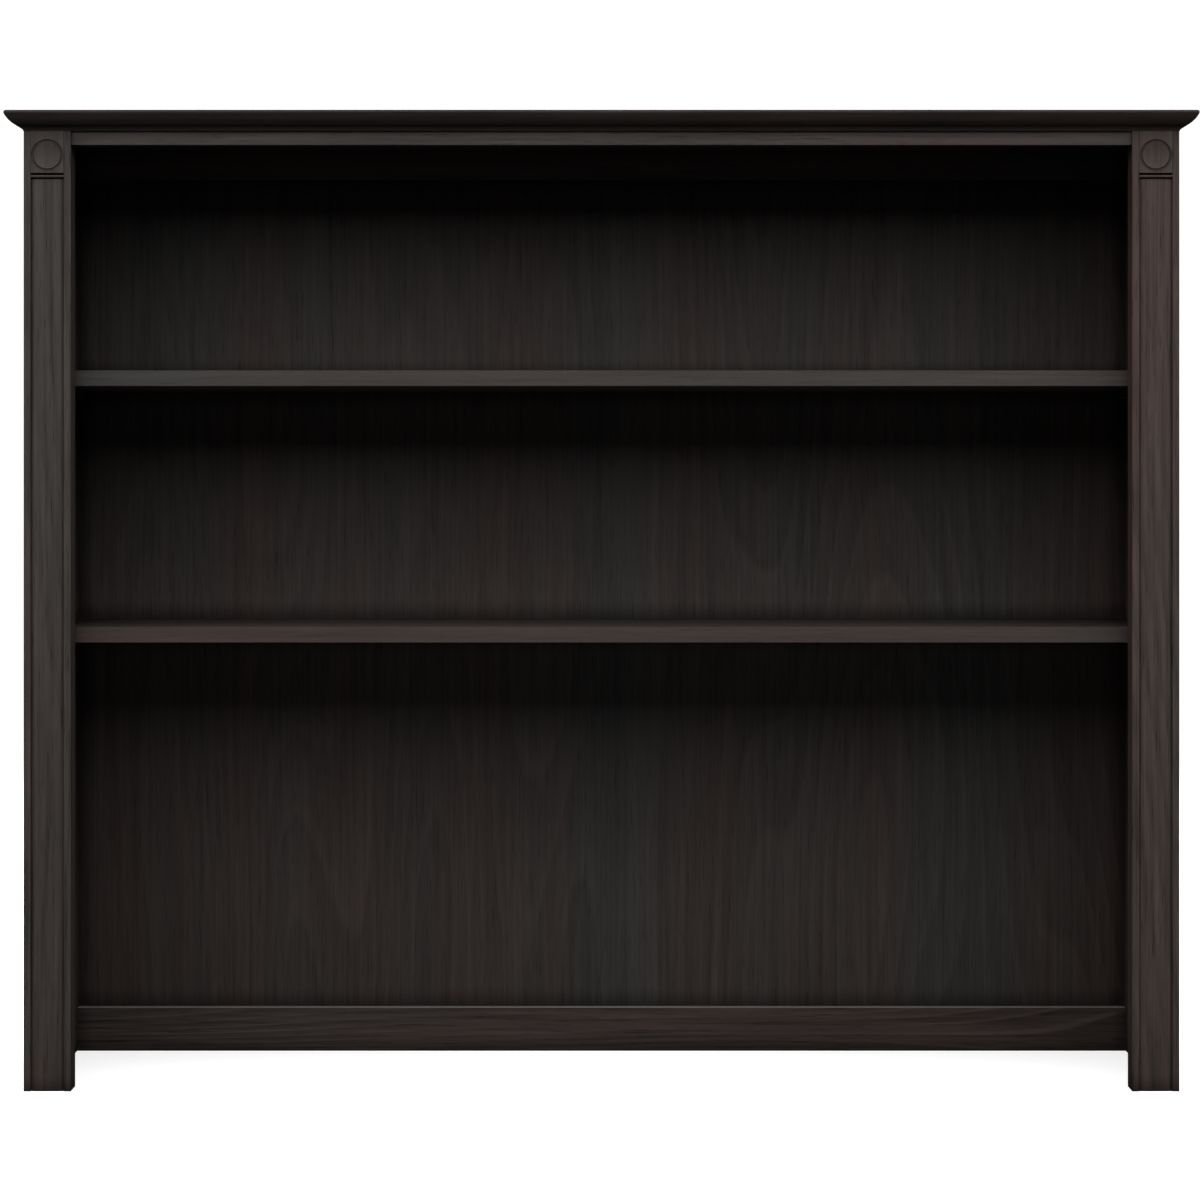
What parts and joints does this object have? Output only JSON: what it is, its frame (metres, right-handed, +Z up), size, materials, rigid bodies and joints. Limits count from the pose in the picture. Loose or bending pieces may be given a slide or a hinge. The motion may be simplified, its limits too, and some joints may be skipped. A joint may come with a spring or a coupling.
{
  "type": "open bookcase",
  "caption": "Wide open-front bookcase in dark wood-grain board, with moulded posts, corner rosettes, an ogee crown, a fixed shelf and a lift-off shelf.",
  "frame": {"origin": "on the floor, under the middle of the outer box", "axes": "+X to the right as seen from the front, +Y to the back, +Z up; the open front faces -Y"},
  "size_m": [1.2152, 0.329, 1],
  "materials": {
    "dark_wood_laminate": "satin dark wood-grain laminate",
    "dark_back_hardboard": "matt dark wood-grain paper on hardboard",
    "dark_edge_band": "satin dark wood-grain edge band",
    "zinc_steel": "bright zinc plate",
    "bronze_steel": "dark bronze plate",
    "cap_plastic": "matt moulded plastic",
    "beech_dowel": "fluted raw beech"
  },
  "bodies": {
    "carcass": {"left_side_panel": "dark_wood_laminate", "right_side_panel": "dark_wood_laminate", "left_post": "dark_wood_laminate", "right_post": "dark_wood_laminate", "left_rosette_block": "dark_wood_laminate", "right_rosette_block": "dark_wood_laminate", "left_neck_bead": "dark_wood_laminate", "right_neck_bead": "dark_wood_laminate", "top_panel": "dark_wood_laminate", "front_crown": "dark_wood_laminate", "left_crown": "dark_wood_laminate", "right_crown": "dark_wood_laminate", "front_top_rail": "dark_wood_laminate", "back_top_rail": "dark_wood_laminate", "back_bottom_rail": "dark_wood_laminate", "back_panel": "dark_back_hardboard", "lower_shelf": "dark_wood_laminate", "lower_shelf_edge_band": "dark_edge_band", "shelf_pins": "bronze_steel", "cam_locks": "zinc_steel", "cam_bolts": "zinc_steel", "rail_screws": "zinc_steel", "back_panel_nails": "zinc_steel", "cam_caps": "cap_plastic", "wood_dowels": "beech_dowel"},
    "upper_shelf": {"upper_shelf": "dark_wood_laminate", "upper_shelf_edge_band": "dark_edge_band"}
  },
  "joints": [
    {"name": "upper_shelf_lift", "type": "slide", "parent": "carcass", "child": "upper_shelf", "axis": [0, 0, 1], "range_m": [0, 0.1]}
  ]
}
